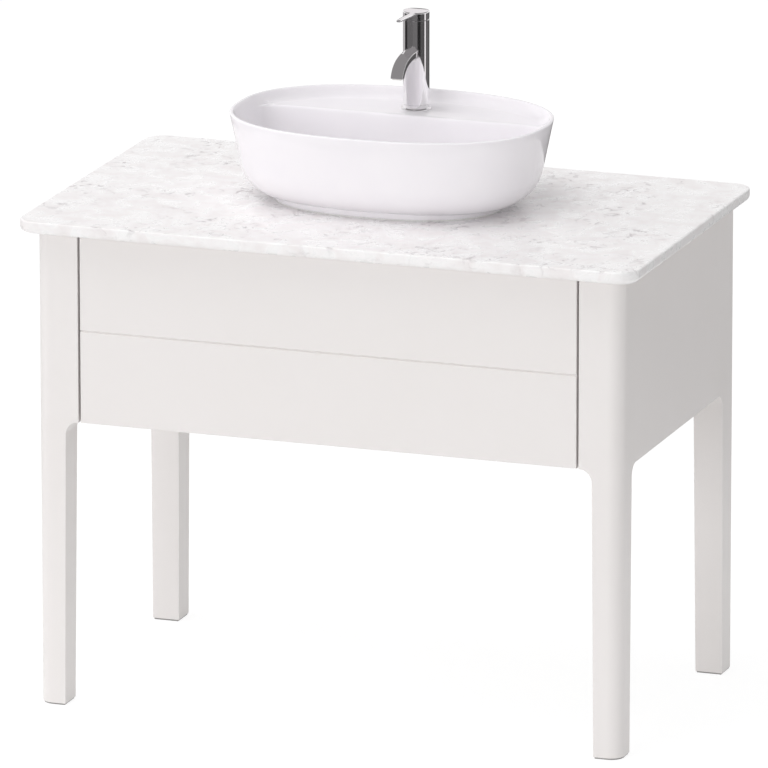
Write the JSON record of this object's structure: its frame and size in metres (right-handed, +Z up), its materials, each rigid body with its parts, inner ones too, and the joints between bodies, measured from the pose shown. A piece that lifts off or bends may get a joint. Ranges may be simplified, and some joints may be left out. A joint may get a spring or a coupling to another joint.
{
  "type": "vanity unit",
  "caption": "Freestanding bathroom vanity: white lacquered case on four tapered legs, wide grooved pull-out, pale stone worktop, oval countertop basin and single-lever chrome tap.",
  "frame": {"origin": "on the floor, under the middle of the worktop", "axes": "+X to the right, +Y to the wall behind, +Z up; the front faces -Y"},
  "size_m": [0.988, 0.59, 1.0381],
  "materials": {
    "white_lacquer": "smooth matt white lacquer on MDF",
    "carcass_board": "white melamine-faced board",
    "drawer_board": "pale grey melamine-faced board",
    "quartz_worktop": "polished white quartz with faint grey veins",
    "basin_ceramic": "smooth white glaze",
    "silicone": "soft translucent white",
    "black_rubber": "smooth",
    "chrome": "polished",
    "trap_plastic": "moulded white polypropylene",
    "brass": "machined",
    "zinc_steel": "zinc-plated",
    "beech": "plain",
    "glide_plastic": "moulded grey polyamide",
    "grey_plastic": "moulded",
    "cartridge_plastic": "moulded"
  },
  "bodies": {
    "case": {"leg_front_left": "white_lacquer", "leg_front_right": "white_lacquer", "leg_rear_left": "white_lacquer", "leg_rear_right": "white_lacquer", "side_panel_left": "white_lacquer", "side_panel_right": "white_lacquer", "inner_side_left": "carcass_board", "inner_side_right": "carcass_board", "bottom_panel": "carcass_board", "top_rail_front": "carcass_board", "top_rail_rear": "carcass_board", "back_rail_upper": "carcass_board", "back_rail_lower": "carcass_board", "dowels": "beech", "case_screws": "zinc_steel", "foot_inserts": "zinc_steel", "wall_brackets": "zinc_steel", "worktop": "quartz_worktop", "basin": "basin_ceramic", "basin_seal": "silicone", "waste_body": "chrome", "waste_cover": "chrome", "waste_gasket": "black_rubber", "waste_nut": "brass", "trap_tailpiece": "trap_plastic", "trap_body": "trap_plastic", "trap_cup": "trap_plastic", "trap_nuts": "trap_plastic", "trap_outlet_pipe": "trap_plastic", "tap_base": "chrome", "tap_body": "chrome", "tap_spout": "chrome", "tap_aerator": "grey_plastic", "tap_cartridge": "cartridge_plastic", "tap_inlets": "brass", "tap_stud": "zinc_steel", "tap_clamp": "zinc_steel", "tap_nut": "brass", "runner_case_left": "zinc_steel", "runner_case_right": "zinc_steel", "latch_housing": "grey_plastic"},
    "drawer": {"drawer_front": "white_lacquer", "drawer_side_left": "drawer_board", "drawer_side_right": "drawer_board", "drawer_bottom": "drawer_board", "drawer_back_left": "drawer_board", "drawer_back_right": "drawer_board", "trap_guard": "trap_plastic", "front_brackets": "zinc_steel", "runner_drawer_left": "zinc_steel", "runner_drawer_right": "zinc_steel"},
    "runner_middle_left": {"runner_middle_left": "zinc_steel"},
    "runner_middle_right": {"runner_middle_right": "zinc_steel"},
    "lever_carrier": {"tap_lever_carrier": "chrome"},
    "lever": {"tap_lever": "chrome"},
    "latch_plunger": {"latch_plunger": "grey_plastic"},
    "glide_front_left": {"glide_front_left": "glide_plastic"},
    "glide_front_right": {"glide_front_right": "glide_plastic"},
    "glide_rear_left": {"glide_rear_left": "glide_plastic"},
    "glide_rear_right": {"glide_rear_right": "glide_plastic"}
  },
  "joints": [
    {"name": "drawer_slide", "type": "slide", "parent": "case", "child": "drawer", "axis": [0, -1, 0], "range_m": [0, 0.4]},
    {"name": "runner_left_slide", "type": "slide", "parent": "case", "child": "runner_middle_left", "axis": [0, -1, 0], "range_m": [0, 0.2]},
    {"name": "runner_right_slide", "type": "slide", "parent": "case", "child": "runner_middle_right", "axis": [0, -1, 0], "range_m": [0, 0.2]},
    {"name": "lever_turn", "type": "hinge", "parent": "case", "child": "lever_carrier", "pos_m": [0, 0.135, 1.028], "axis": [0, 0, 1], "range_deg": [-45, 45]},
    {"name": "lever_lift", "type": "hinge", "parent": "lever_carrier", "child": "lever", "pos_m": [0, 0.135, 1.0259], "axis": [-1, 0, 0], "range_deg": [0, 18]},
    {"name": "latch_push", "type": "slide", "parent": "case", "child": "latch_plunger", "axis": [0, 1, 0], "range_m": [0, 0.005], "stiffness_N_per_m": 200, "springref_m": -0.01},
    {"name": "glide_front_left_screw", "type": "slide", "parent": "case", "child": "glide_front_left", "axis": [0, 0, -1], "range_m": [0, 0.01]},
    {"name": "glide_front_right_screw", "type": "slide", "parent": "case", "child": "glide_front_right", "axis": [0, 0, -1], "range_m": [0, 0.01]},
    {"name": "glide_rear_left_screw", "type": "slide", "parent": "case", "child": "glide_rear_left", "axis": [0, 0, -1], "range_m": [0, 0.01]},
    {"name": "glide_rear_right_screw", "type": "slide", "parent": "case", "child": "glide_rear_right", "axis": [0, 0, -1], "range_m": [0, 0.01]}
  ],
  "couplings": [
    {"joint": "runner_left_slide", "follows": "drawer_slide", "ratio": 0.5},
    {"joint": "runner_right_slide", "follows": "drawer_slide", "ratio": 0.5}
  ]
}
